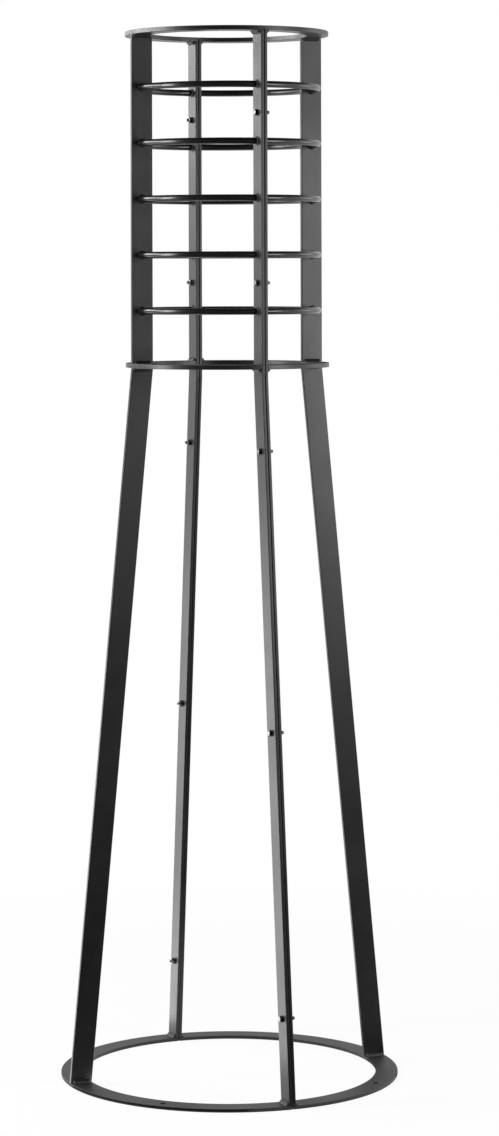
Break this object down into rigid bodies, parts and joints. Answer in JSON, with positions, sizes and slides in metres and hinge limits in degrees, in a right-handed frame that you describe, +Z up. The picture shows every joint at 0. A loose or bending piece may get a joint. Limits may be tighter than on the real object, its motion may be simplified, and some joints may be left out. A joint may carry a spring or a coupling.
{
  "type": "metal tree guard",
  "caption": "Round steel tree guard: upright flats and hoops between a top ring and a collar, with legs spreading to a wider base ring, in two bolted halves.",
  "frame": {"origin": "on the ground at the middle of the base ring", "axes": "+Z up along the trunk; the bolted pairs of end bars stand at -Y (front) and +Y (back), the middle bars at -X (left) and +X (right)"},
  "size_m": [0.614, 0.614, 1.9],
  "materials": {
    "powder_coat": "near-black powder coat, satin, finely textured",
    "fastener_steel": "blackened steel, satin, brighter on its rubbed edges"
  },
  "bodies": {
    "root": {"back_bolt_1": "fastener_steel", "back_bolt_2": "fastener_steel", "back_bolt_3": "fastener_steel", "back_bolt_4": "fastener_steel", "back_bolt_5": "fastener_steel", "back_nut_1": "fastener_steel", "back_nut_2": "fastener_steel", "back_nut_3": "fastener_steel", "back_nut_4": "fastener_steel", "back_nut_5": "fastener_steel", "front_bolt_1": "fastener_steel", "front_bolt_2": "fastener_steel", "front_bolt_3": "fastener_steel", "front_bolt_4": "fastener_steel", "front_bolt_5": "fastener_steel", "front_nut_1": "fastener_steel", "front_nut_2": "fastener_steel", "front_nut_3": "fastener_steel", "front_nut_4": "fastener_steel", "front_nut_5": "fastener_steel", "left_back_end_bar": "powder_coat", "left_base_ring": "powder_coat", "left_collar": "powder_coat", "left_front_end_bar": "powder_coat", "left_hoop_1": "powder_coat", "left_hoop_2": "powder_coat", "left_hoop_3": "powder_coat", "left_hoop_4": "powder_coat", "left_hoop_5": "powder_coat", "left_middle_bar": "powder_coat", "left_middle_leg": "powder_coat", "left_top_ring": "powder_coat", "right_back_end_bar": "powder_coat", "right_base_ring": "powder_coat", "right_collar": "powder_coat", "right_front_end_bar": "powder_coat", "right_hoop_1": "powder_coat", "right_hoop_2": "powder_coat", "right_hoop_3": "powder_coat", "right_hoop_4": "powder_coat", "right_hoop_5": "powder_coat", "right_middle_bar": "powder_coat", "right_middle_leg": "powder_coat", "right_top_ring": "powder_coat"}
  },
  "joints": []
}
